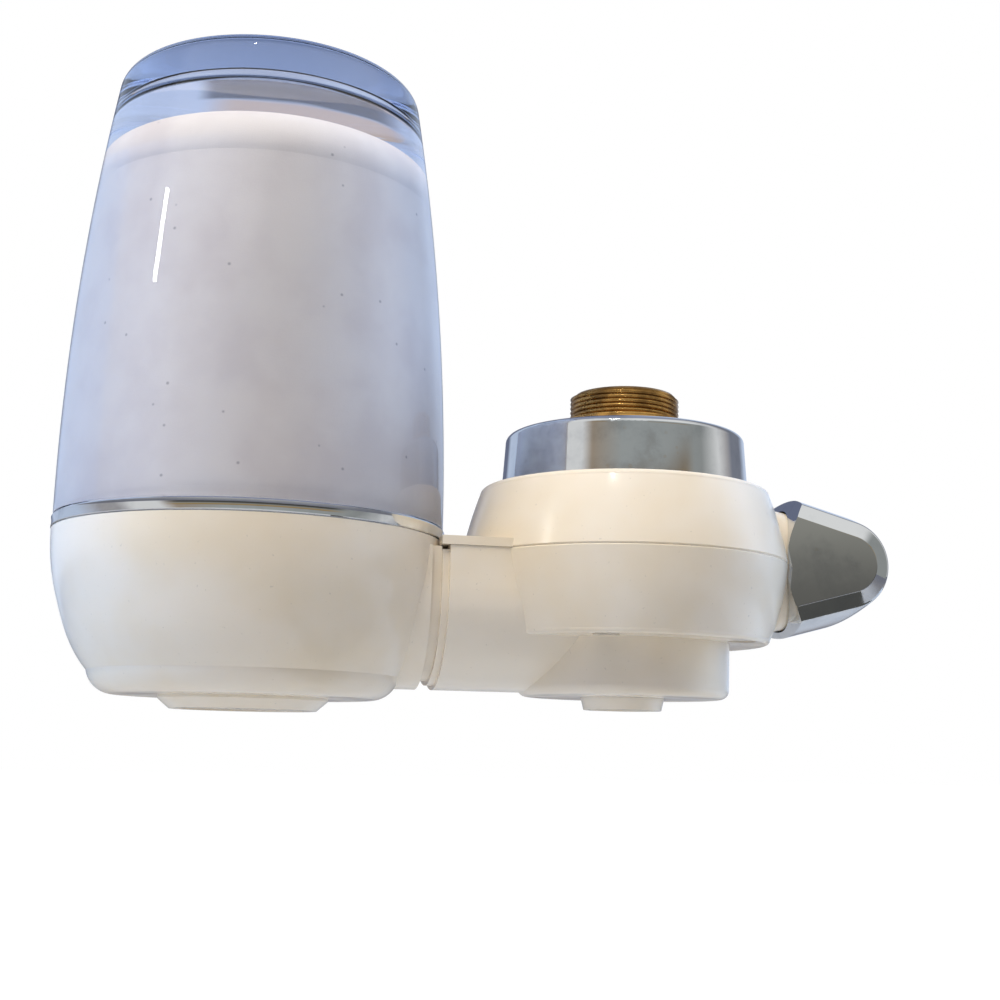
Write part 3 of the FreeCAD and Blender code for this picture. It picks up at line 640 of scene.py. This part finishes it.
@dataclass
class NodeShape:
    """A shape made by a node tree with named inputs, turned into a plain mesh."""

    name: str
    inputs: dict[str, tuple[str, Any]]
    tree: Tree = field(init=False)
    given: Node = field(init=False)

    def __post_init__(self) -> None:
        """Makes the tree with its interface."""
        self.tree = bpy.data.node_groups.new(self.name + "_nodes", "GeometryNodeTree")
        for label, (kind, _) in self.inputs.items():
            self.tree.interface.new_socket(name=label, in_out="INPUT", socket_type=kind)
        self.tree.interface.new_socket(name="Geometry", in_out="OUTPUT", socket_type="NodeSocketGeometry")
        self.given = put(self.tree, "NodeGroupInput")

    def grow(self, geometry: Socket) -> bpy.types.Object:
        """Closes the tree, runs it and keeps its result as a plain mesh.

        Args:
            geometry: output that holds the finished shape.

        Returns:
            The piece, with its modifier removed.
        """
        whole = put(self.tree, "GeometryNodeRealizeInstances", links={"Geometry": geometry}).outputs[0]
        painted = put(self.tree, "GeometryNodeSetMaterial",
                      links={"Geometry": whole, "Material": self.given.outputs["Material"]})
        put(self.tree, "NodeGroupOutput", links={"Geometry": painted.outputs["Geometry"]})
        piece = shown(self.name, bpy.data.meshes.new(self.name))
        modifier = piece.modifiers.new("nodes", "NODES")
        modifier.node_group = self.tree
        for item in self.tree.interface.items_tree:
            if item.item_type == "SOCKET" and item.in_out == "INPUT":
                modifier[item.identifier] = self.inputs[item.name][1]
        bpy.context.view_layer.update()
        graph = bpy.context.evaluated_depsgraph_get()
        mesh = bpy.data.meshes.new_from_object(piece.evaluated_get(graph))
        piece.modifiers.clear()
        piece.data = mesh
        return piece


@dataclass
class Thread:
    """Screw thread: tapered ridges side by side that climb round a core, with all sizes in mm."""

    name: str
    crest: float                # radius over the ridge
    depth: float
    pitch: float
    turns: float
    low: float                  # height of its start above the covers' seam
    x: float                    # place of the axis
    finish: Finish
    starts: int = 1             # number of ridges
    sunk: float = 0.24          # share of the depth by which the ridge's root lies in the core
    root_share: float = 0.88    # width of the root as a share of the room for one ridge
    crest_share: float = 0.2    # width of the crest, likewise
    steps: int = 96             # points in one turn

    def shape(self) -> NodeShape:
        """Opens the node tree with the thread's sizes as its inputs.

        Returns:
            The shape, whose tree still lacks the nodes that make it.
        """
        room = self.pitch / self.starts
        ridge = self.depth * (1 + self.sunk)
        return NodeShape(self.name, {
            "Core Radius": ("NodeSocketFloat", (self.crest - ridge / 2) * MM),
            "Climb": ("NodeSocketFloat", self.pitch * self.turns * MM),
            "Turns": ("NodeSocketFloat", self.turns),
            "Root Width": ("NodeSocketFloat", room * self.root_share * MM),
            "Crest Width": ("NodeSocketFloat", room * self.crest_share * MM),
            "Depth": ("NodeSocketFloat", ridge * MM),
            "Starts": ("NodeSocketInt", self.starts),
            "Place": ("NodeSocketVector", (self.x * MM, 0.0, (self.low - OUTLET_FACE) * MM)),
            "Material": ("NodeSocketMaterial", self.finish.material()),
        })

    def build(self) -> bpy.types.Object:
        """Sweeps one ridge along a helix and sets its copies round the core.

        Returns:
            The thread as a plain piece.
        """
        shape = self.shape()
        tree, given = shape.tree, shape.given.outputs
        helix = put(tree, "GeometryNodeCurveSpiral", {"Resolution": self.steps},
                    {"Start Radius": given["Core Radius"], "End Radius": given["Core Radius"],
                     "Height": given["Climb"], "Rotations": given["Turns"]})
        upright = put(tree, "GeometryNodeSetCurveNormal", {"mode": "Z_UP"},
                      {"Curve": helix.outputs["Curve"]})
        ridge = put(tree, "GeometryNodeCurvePrimitiveQuadrilateral", {"mode": "TRAPEZOID", "Offset": 0.0},
                    {"Bottom Width": given["Root Width"], "Top Width": given["Crest Width"],
                     "Height": given["Depth"]})
        swept = put(tree, "GeometryNodeCurveToMesh", {"Fill Caps": True},
                    {"Curve": upright.outputs["Curve"], "Profile Curve": ridge.outputs["Curve"]})
        line = put(tree, "GeometryNodeMeshLine", {"Offset": (0.0, 0.0, 0.0)}, {"Count": given["Starts"]})
        number = put(tree, "GeometryNodeInputIndex").outputs["Index"]
        share = put(tree, "ShaderNodeMath", {"operation": "DIVIDE"}, {0: number, 1: given["Starts"]})
        angle = put(tree, "ShaderNodeMath", {"operation": "MULTIPLY", 1: math.tau},
                    {0: share.outputs["Value"]})
        turn = put(tree, "ShaderNodeCombineXYZ", links={"Z": angle.outputs["Value"]})
        copies = put(tree, "GeometryNodeInstanceOnPoints", links={
            "Points": line.outputs["Mesh"], "Instance": swept.outputs["Mesh"],
            "Rotation": turn.outputs["Vector"]})
        moved = put(tree, "GeometryNodeTranslateInstances", {"Local Space": False}, {
            "Instances": copies.outputs["Instances"], "Translation": given["Place"]})
        return shape.grow(moved.outputs["Instances"])


# Sub-assemblies


@dataclass
class ClearHousing:
    """Clear dome over the cartridge, with a thick flat top and a threaded skirt; sizes in mm.

    A round is given by its reach and height and by one point on it, inwards from the side and down from the
    top, or up from the foot.
    """

    radius: float = 39.8
    wall: float = 2.2
    taper: float = 7.7
    foot: float = 4.4
    top: float = 100.0
    shoulder: float = 96.1
    cavity_top: float = 91.8
    fill_line: float = 88.6         # height up to which the inner face is marked as wet
    skirt_radius: float = 36.7
    skirt_bore: float = 34.6
    skirt_end: float = -9.0
    skirt_edge: float = 0.4
    bore_edge: float = 0.3
    corner: float = 0.1             # chamfer at the skirt's root and on the foot's round
    foot_reach: float = 0.35
    foot_rise: float = 0.3
    rim_middle: Point = (1.39, 1.5)
    rim_end: Point = (3.71, 0.56)   # where the flat top begins
    flats: tuple[float, ...] = (0.0, 8.0, 16.0, 22.0)   # radii of the edges under the thick top
    vault_reach: float = 4.1        # the round between the wall and the thick top, inside
    vault_middle: Point = (1.2, 2.2)
    vault_depth: float = 5.4
    turn_share: float = 0.05        # share of the side's height where the wall turns to the skirt
    turn_middle: Point = (0.9, 1.6)
    turn_drop: float = 0.5          # from the foot down to that turn's end
    thread_depth: float = 0.22
    thread_pitch: float = 7.5
    thread_turns: float = 0.9
    thread_starts: int = 3
    thread_rise: float = 1.4        # from the skirt's end up to the thread's start

    def barrel(self, inset: float, share: float) -> Point:
        """Place on the barrel side, a share of the way from foot to shoulder."""
        height = self.foot + share * (self.shoulder - self.foot)
        return self.radius - inset - self.taper * share * share, height

    def side(self, inset: float, first: float, last: float, steps: int) -> list[Point]:
        """Arc along the barrel side between two shares of its height."""
        middle = self.barrel(inset, (first + last) / 2)
        return arc(self.barrel(inset, first), middle, self.barrel(inset, last), steps)

    def outside(self) -> list[Point]:
        """Draws the section's outer side.

        Returns:
            Points from the skirt's end up the barrel side and over the rounded rim to the axis.
        """
        r, foot, corner = self.radius, self.foot, self.corner
        skirt, end = self.skirt_radius, self.skirt_end
        side_low = (r, foot + self.foot_rise)
        path = [(self.skirt_bore + self.bore_edge, end), (skirt - self.skirt_edge, end),
                (skirt, end + self.skirt_edge), (skirt, foot - corner), (skirt + corner, foot),
                (r - self.foot_reach, foot), (r - corner, foot + corner), side_low]
        path += arc(side_low, self.barrel(0.0, 0.5), self.barrel(0.0, 1.0), steps=36)
        rim = r - self.taper
        middle, flat = [(rim - inward, self.top - down) for inward, down in (self.rim_middle, self.rim_end)]
        path += arc((rim, self.shoulder), middle, flat, steps=14)
        return path + self.cap(*flat, self.top)

    def cap(self, rim: float, low: float, high: float, steps: int = 10) -> list[Point]:
        """Draws the ball-shaped top.

        Args:
            rim: radius where it begins.
            low: height where it begins.
            high: height at the axis.
            steps: number of chords.

        Returns:
            Points after the first, in to the axis.
        """
        ball = (rim * rim + (high - low) ** 2) / (2 * (high - low))
        radii = [rim * (1 - k / steps) for k in range(1, steps + 1)]
        return [(max(q, 0.0), high - ball + math.sqrt(ball * ball - q * q)) for q in radii]

    def inside(self) -> list[Point]:
        """Draws the section's inner side.

        Returns:
            Points from the axis out under the thick top and down the wall to the skirt's end.
        """
        r, w, foot, ceiling = self.radius, self.wall, self.foot, self.cavity_top
        vault_low = ceiling - self.vault_depth
        high = (vault_low - foot) / (self.shoulder - foot)
        rim = self.barrel(w, high)[0]
        start = (rim - self.vault_reach, ceiling)
        inward, down = self.vault_middle
        path = [(q, ceiling) for q in self.flats] + [start]
        path += arc(start, (rim - inward, ceiling - down), (rim, vault_low), steps=12)
        path += self.side(w, high, self.turn_share, steps=32)
        inward, up = self.turn_middle
        path += arc(self.barrel(w, self.turn_share), (r - w - inward, foot + up),
                    (self.skirt_bore, foot - self.turn_drop), steps=6)
        return path + [(self.skirt_bore, self.skirt_end + self.bore_edge)]

    def build(self) -> None:
        """Makes the wall and the skirt's thread."""
        outer, inner = self.outside(), self.inside()
        outline = outer + inner
        wet = [n for n, (_, z) in enumerate(outline) if n >= len(outer) and z < self.fill_line]
        wall = lathe("housing_wall", outline, FILTER_X, marked=wet)
        crisp(wall, angle=50.0)
        settle(wall, Body.HOUSING, CLEAR, "clear_plastic", "clear_housing")
        ridge = Thread("housing_thread", self.skirt_radius + self.thread_depth, self.thread_depth,
                       self.thread_pitch, self.thread_turns, self.skirt_end + self.thread_rise, FILTER_X,
                       CLEAR, self.thread_starts)
        settle(ridge.build(), Body.HOUSING, CLEAR, "clear_plastic")


@dataclass
class BrassAdapter:
    """Brass adapter held by the nut: flange, collar and outer thread; sizes in mm."""

    bore: float = 9.6
    flange: float = 17.4
    collar: float = 14.0
    crest: float = 11.9
    depth: float = 0.6
    pitch: float = 1.0
    turns: float = 5.0
    run_in: float = 0.55            # from the collar's face up to the thread's start
    flange_low: float = 23.9
    flange_top: float = 25.4
    face: float = 31.2
    end: float = 37.4
    low_edge: float = 0.3           # bevel under the flange
    top_edge: float = 0.2           # bevel on the flange
    collar_reach: float = 0.35      # width and height of the collar's round
    collar_corner: float = 0.1      # inset of the middle of that round
    neck_edge: float = 0.5
    bore_edge: float = 0.4

    def outline(self) -> list[Point]:
        """Draws the section without its thread.

        Returns:
            Points from the flange's underside up the outside to the bore's upper edge.
        """
        core = self.crest - self.depth
        low, top, face, end = self.flange_low, self.flange_top, self.face, self.end
        return [(self.bore, low), (self.flange - self.low_edge, low), (self.flange, low + self.low_edge),
                (self.flange, top - self.top_edge), (self.flange - self.top_edge, top), (self.collar, top),
                (self.collar, face - self.collar_reach),
                (self.collar - self.collar_corner, face - self.collar_corner),
                (self.collar - self.collar_reach, face), (core, face), (core, end - self.neck_edge),
                (core - self.neck_edge, end), (self.bore + self.bore_edge, end),
                (self.bore, end - self.bore_edge)]

    def build(self) -> None:
        """Makes the turned body and the thread that climbs round its neck."""
        piece = lathe("adapter_turned", self.outline(), steps=192)
        crisp(piece, angle=35.0)
        settle(piece, Body.VALVE, BRASS, "brass", "tap_adapter")
        ridge = Thread("adapter_thread", self.crest, self.depth, self.pitch, self.turns,
                       self.face + self.run_in, 0.0, BRASS)
        settle(ridge.build(), Body.VALVE, BRASS, "brass")


def dress_nodes() -> None:
    """Gives every CAD node that stays in view the finish of its real material."""
    for finish, names in CARRIED.items():
        for name in names:
            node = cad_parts[name]
            for part in node.material_slots:
                part.material = finish.material()
            log.info("%s: %s", name, finish.label)


# Studio


class Tone(Enum):
    """Colours of the walls and cards that polished metal mirrors."""

    DUSK = "#70778e"
    SKY = "#c8d6ee"
    STONE = "#b5b2b3"
    WHITE = "#ebebea"
    WOOD = "#a99a88"
    GREY = "#a8acaa"
    HAZE = "#9c9f9d"
    SLATE = "#858995"
    COAL = "#45433f"
    OLIVE = "#6e6d68"
    PUTTY = "#98978f"
    BRONZE = "#a68e65"
    UMBER = "#80694a"


# A side of an area of directions: the axis, where the area's share starts, and where it is full.
Edge = tuple[str, float, float]


@dataclass(frozen=True)
class Surroundings:
    """The world by direction: soft light, what polished metal mirrors, and what clear walls let through.

    Metal shows upright bands all round, level ones low in front, and a bright overhead. The clear housing
    shows cool sides, with a dark and a warm patch behind its thick top. The bands stand at degrees from the
    front, positive to the right, and the level ones, the rises, at a direction's Z.
    """

    front: str = "#6a5c48"
    left: str = "#b5ccee"
    right: str = "#8fa0bd"
    back: str = "#e4ebf8"
    ceiling: str = "#a0a5ba"
    overhead: str = "#f6f6f4"
    inner: str = "#e2eeff"
    gloom: str = "#1c2036"
    warm: str = "#f0cdb0"
    seen: str = "#ffffff"
    front_area: tuple[Edge, ...] = (("Y", -0.2, -0.9),)
    back_area: tuple[Edge, ...] = (("Y", 0.3, 0.8),)
    right_area: tuple[Edge, ...] = (("X", -0.2, 0.2),)
    ceiling_area: tuple[Edge, ...] = (("Z", 0.34, 0.37),)
    zenith_area: tuple[Edge, ...] = (("Z", 0.82, 0.92),)
    near_area: tuple[Edge, ...] = (("Y", -0.55, -0.75), ("Z", 0.325, 0.297))
    overhead_area: tuple[Edge, ...] = (("Z", 0.45, 0.55), ("Z", 0.92, 0.82), ("Y", -0.1, -0.3))
    gloom_area: tuple[Edge, ...] = (
        ("Y", 0.55, 0.65), ("Z", 0.19, 0.21), ("Z", 0.287, 0.275), ("X", -0.26, -0.14), ("X", 0.14, 0.105))
    warm_area: tuple[Edge, ...] = (
        ("Y", 0.55, 0.65), ("Z", 0.278, 0.29), ("Z", 0.36, 0.33), ("X", -0.30, -0.16), ("X", 0.13, 0.07))
    aside_span: Range = (0.0, 0.7)      # how far aside a direction points
    aside_share: Range = (0.25, 1.0)    # share of the inner colour there
    bands: tuple[tuple[float, Tone], ...] = (
        (-179, Tone.DUSK), (-166, Tone.DUSK), (-157, Tone.SKY), (-118, Tone.SKY), (-96, Tone.STONE),
        (-84, Tone.STONE), (-74, Tone.WHITE), (-56, Tone.WHITE), (-46, Tone.WOOD), (-18, Tone.GREY),
        (11, Tone.GREY), (62, Tone.HAZE), (84, Tone.WHITE), (98, Tone.STONE), (106, Tone.SLATE),
        (125, Tone.SLATE), (140, Tone.SKY), (157, Tone.SKY), (166, Tone.DUSK), (179, Tone.DUSK))
    rises: tuple[tuple[float, Tone], ...] = (
        (0.03, Tone.COAL), (0.11, Tone.OLIVE), (0.15, Tone.PUTTY), (0.185, Tone.PUTTY),
        (0.20, Tone.BRONZE), (0.285, Tone.BRONZE), (0.31, Tone.UMBER))
    rise_top: float = 0.4

    @staticmethod
    def area(tree: Tree, way: Any, edges: Sequence[Edge]) -> Socket:
        """Share that is 1 for directions inside an area of the surroundings and 0 outside.

        Args:
            tree: node tree of the world.
            way: outputs with the direction's parts.
            edges: sides of the area.

        Returns:
            The share.
        """
        share = None
        for axis, start, full in edges:
            settings = eased((min(start, full), max(start, full)), (float(start > full), float(start < full)))
            edge = put(tree, "ShaderNodeMapRange", settings, {"Value": way[axis]}).outputs["Result"]
            share = edge if share is None else put(
                tree, "ShaderNodeMath", {"operation": "MULTIPLY"}, {0: share, 1: edge}).outputs[0]
        return share

    @staticmethod
    def stripes(tree: Tree, value: Socket, span: Range, tones: Iterable[tuple[float, Tone]]) -> Socket:
        """Colours along a value, each at its own place and blending into the next.

        Args:
            tree: node tree of the world.
            value: what the colours follow.
            span: its least and greatest value.
            tones: value and colour of each stripe.

        Returns:
            The colour.
        """
        low, high = span
        share = put(tree, "ShaderNodeMapRange", {"From Min": low, "From Max": high}, {"Value": value})
        ramp = put(tree, "ShaderNodeValToRGB", links={"Fac": share.outputs["Result"]})
        stops = ramp.color_ramp.elements
        for place, tone in tones:
            stops.new((place - low) / (high - low)).color = linear(tone.value)
        stops.remove(stops[0])
        stops.remove(stops[-1])
        return ramp.outputs["Color"]

    def lit(self, tree: Tree, way: Any) -> Socket:
        """Soft light by direction: cool sides, white behind, dim warm front, dim ceiling.

        Args:
            tree: node tree of the world.
            way: outputs with the direction's parts.

        Returns:
            The light's colour.
        """
        return layers(tree, self.left,
                      (self.area(tree, way, self.right_area), self.right),
                      (self.area(tree, way, self.back_area), self.back),
                      (self.area(tree, way, self.front_area), self.front),
                      (self.area(tree, way, self.ceiling_area), self.ceiling))

    def mirrored(self, tree: Tree, way: Any) -> Socket:
        """What metal mirrors: upright bands, level ones low in front, a dim zenith, a bright overhead.

        Args:
            tree: node tree of the world.
            way: outputs with the direction's parts.

        Returns:
            The mirrored colour.
        """
        ahead = put(tree, "ShaderNodeMath", {"operation": "MULTIPLY", 1: -1.0}, {0: way["Y"]})
        azimuth = put(tree, "ShaderNodeMath", {"operation": "ARCTAN2"}, {0: way["X"], 1: ahead.outputs[0]})
        bands = self.stripes(tree, azimuth.outputs[0], (-math.pi, math.pi),
                             ((math.radians(degrees), tone) for degrees, tone in self.bands))
        rises = self.stripes(tree, way["Z"], (0.0, self.rise_top), self.rises)
        return layers(tree, bands,
                      (self.area(tree, way, self.near_area), rises),
                      (self.area(tree, way, self.zenith_area), self.ceiling),
                      (self.area(tree, way, self.overhead_area), self.overhead))

    def let_through(self, tree: Tree, way: Any, lit: Socket) -> Socket:
        """What clear walls let through: the soft light, cooler aside, with the warm and the dark patch.

        Args:
            tree: node tree of the world.
            way: outputs with the direction's parts.
            lit: the soft light's colour.

        Returns:
            The colour behind a clear wall.
        """
        across = put(tree, "ShaderNodeMath", {"operation": "ABSOLUTE"}, {0: way["X"]})
        aside = put(tree, "ShaderNodeMapRange", eased(self.aside_span, self.aside_share),
                    {"Value": across.outputs[0]})
        return layers(tree, lit,
                      (aside.outputs["Result"], self.inner),
                      (self.area(tree, way, self.warm_area), self.warm),
                      (self.area(tree, way, self.gloom_area), self.gloom))

    def paint(self) -> None:
        """Makes the world, which is plain white to the camera."""
        world = bpy.data.worlds.new("studio")
        world.use_nodes = True
        tree = world.node_tree
        tree.nodes.clear()
        direction = put(tree, "ShaderNodeTexCoord").outputs["Generated"]
        way = put(tree, "ShaderNodeSeparateXYZ", links={"Vector": direction}).outputs
        path = put(tree, "ShaderNodeLightPath").outputs
        lit = self.lit(tree, way)
        colour = layers(tree, lit,
                        (path["Is Glossy Ray"], self.mirrored(tree, way)),
                        (path["Is Transmission Ray"], self.let_through(tree, way, lit)),
                        (path["Is Camera Ray"], self.seen))
        air = put(tree, "ShaderNodeBackground", {"Strength": 1.0}, {"Color": colour})
        put(tree, "ShaderNodeOutputWorld", links={"Surface": air.outputs[0]})
        bpy.context.scene.world = world


@dataclass(frozen=True)
class Softbox:
    """A rectangular lamp: power in watts, colour, place and size in metres, and the point it faces."""

    name: str
    watts: float
    colour: str
    place: Place
    size: Point
    aim: Place = (-0.04, 0.0, 0.0)
    mirrored: bool = False

    def hang(self) -> None:
        """Puts the lamp into the scene, where clear walls don't show it."""
        data = bpy.data.lights.new(self.name, "AREA")
        data.shape = "RECTANGLE"
        data.size, data.size_y = self.size
        data.energy = self.watts
        data.color = linear(self.colour)[:3]
        lamp = bpy.data.objects.new(self.name, data)
        lamp.location = self.place
        lamp.rotation_euler = (Vector(self.aim) - Vector(self.place)).to_track_quat("-Z", "Y").to_euler()
        lamp.visible_transmission = False
        lamp.visible_glossy = self.mirrored
        bpy.context.scene.collection.objects.link(lamp)


@dataclass
class Studio:
    """Pale floor, dark card, soft lamps, surroundings, and the camera low in front.

    The key hangs high and left, with cool lamps at both sides. The spark and the strip are there only for
    their glints. Places are in metres, the camera's angles in degrees, its lens and sensor in mm.
    """

    floor_z: float = -0.19
    floor_half: float = 6.0
    floor_tone: str = "#c8c5be"
    floor_seen: str = "#efeeec"
    floor_glow: float = 0.8
    card_corner: Point = (-0.01, -0.33)
    card_far: Point = (0.24, -0.03)
    card_z: float = -0.15
    card_tone: str = "#4e4c45"
    eye: Place = (-0.09005, -0.31258, -0.07165)
    yaw: float = 11.283
    pitch: float = 9.494
    roll: float = 1.186
    lens: float = 53.87
    sensor: float = 36.0
    nearest: float = 0.01
    lamps: tuple[Softbox, ...] = (
        Softbox("key", 9.5, "#fff6e2", (-0.30, -0.35, 0.85), (0.6, 0.5)),
        Softbox("side_left", 4.3, "#8fc0ff", (-0.85, 0.0, 0.05), (0.35, 0.7)),
        Softbox("side_right", 5.4, "#b8d6ff", (0.68, 0.10, 0.20), (0.3, 0.6)),
        Softbox("spark", 0.2, "#ffffff", (-0.24, -0.50, 0.62), (0.022, 0.022), mirrored=True),
        Softbox("strip", 0.12, "#ffffff", (-0.463, -0.147, 0.22), (0.02, 0.068),
                aim=(-0.08, 0.0, 0.03), mirrored=True))
    around: Surroundings = Surroundings()

    def camera(self) -> None:
        """Places the camera and makes it the scene's own."""
        yaw, pitch, roll = (math.radians(a) for a in (self.yaw, self.pitch, self.roll))
        ahead = Vector((math.sin(yaw) * math.cos(pitch), math.cos(yaw) * math.cos(pitch), math.sin(pitch)))
        right = Vector((math.cos(yaw), -math.sin(yaw), 0.0))
        up = right.cross(ahead)
        leaned_right = right * math.cos(roll) + up * math.sin(roll)
        leaned_up = up * math.cos(roll) - right * math.sin(roll)
        data = bpy.data.cameras.new("camera")
        data.lens = self.lens
        data.sensor_width = self.sensor
        data.clip_start = self.nearest
        camera = bpy.data.objects.new("camera", data)
        turn = Matrix((leaned_right, leaned_up, -ahead)).transposed().to_4x4()
        camera.matrix_world = Matrix.Translation(self.eye) @ turn
        bpy.context.scene.collection.objects.link(camera)
        bpy.context.scene.camera = camera

    @staticmethod
    def sheet(name: str, label: str, corner: Point, far: Point, z: float) -> bpy.types.Object:
        """Lays a level rectangle with a material that has no nodes yet.

        Args:
            name: name of the object.
            label: name of its material.
            corner: its least x and y.
            far: its greatest x and y.
            z: its height.

        Returns:
            The sheet.
        """
        (x0, y0), (x1, y1) = corner, far
        mesh = bpy.data.meshes.new(name)
        mesh.from_pydata([(x0, y0, z), (x1, y0, z), (x1, y1, z), (x0, y1, z)], [], [(0, 1, 2, 3)])
        material = bpy.data.materials.new(label)
        material.use_nodes = True
        material.node_tree.nodes.clear()
        mesh.materials.append(material)
        return shown(name, mesh)

    def floor(self) -> None:
        """Lays the pale floor, which looks white to the camera and keeps the shadow."""
        half = self.floor_half
        floor = self.sheet("floor", "painted_floor_pale", (-half, -half), (half, half), self.floor_z)
        tree = floor.data.materials[0].node_tree
        seen = put(tree, "ShaderNodeLightPath").outputs["Is Camera Ray"]
        paint = put(tree, "ShaderNodeBsdfDiffuse",
                    links={"Color": layers(tree, self.floor_tone, (seen, self.floor_seen))})
        glow = put(tree, "ShaderNodeEmission", {"Color": (1.0, 1.0, 1.0, 1.0), "Strength": self.floor_glow})
        both = put(tree, "ShaderNodeAddShader", links={0: paint.outputs[0], 1: glow.outputs[0]})
        mixed = put(tree, "ShaderNodeMixShader", links={0: seen, 1: paint.outputs[0], 2: both.outputs[0]})
        put(tree, "ShaderNodeOutputMaterial", links={"Surface": mixed.outputs[0]})

    def card(self) -> None:
        """Lays a dark card under the lever's near side, which only polished metal shows."""
        card = self.sheet("card", "card_dark", self.card_corner, self.card_far, self.card_z)
        tree = card.data.materials[0].node_tree
        paint = put(tree, "ShaderNodeBsdfDiffuse", {"Color": linear(self.card_tone)})
        put(tree, "ShaderNodeOutputMaterial", links={"Surface": paint.outputs[0]})
        card.visible_camera = card.visible_diffuse = card.visible_transmission = card.visible_shadow = False

    def build(self) -> None:
        """Sets the whole studio up."""
        bpy.context.scene.view_settings.view_transform = "Standard"
        self.camera()
        self.floor()
        self.card()
        for lamp in self.lamps:
            lamp.hang()
        self.around.paint()


def main() -> None:
    """Builds the sub-assemblies in order, then the studio."""
    logging.basicConfig(level=logging.INFO, format="%(name)s %(message)s")
    dress_nodes()
    for part in (ClearHousing(), BrassAdapter(), Studio()):
        part.build()
        log.info("%s done", type(part).__name__)


if __name__ == "__main__":
    main()
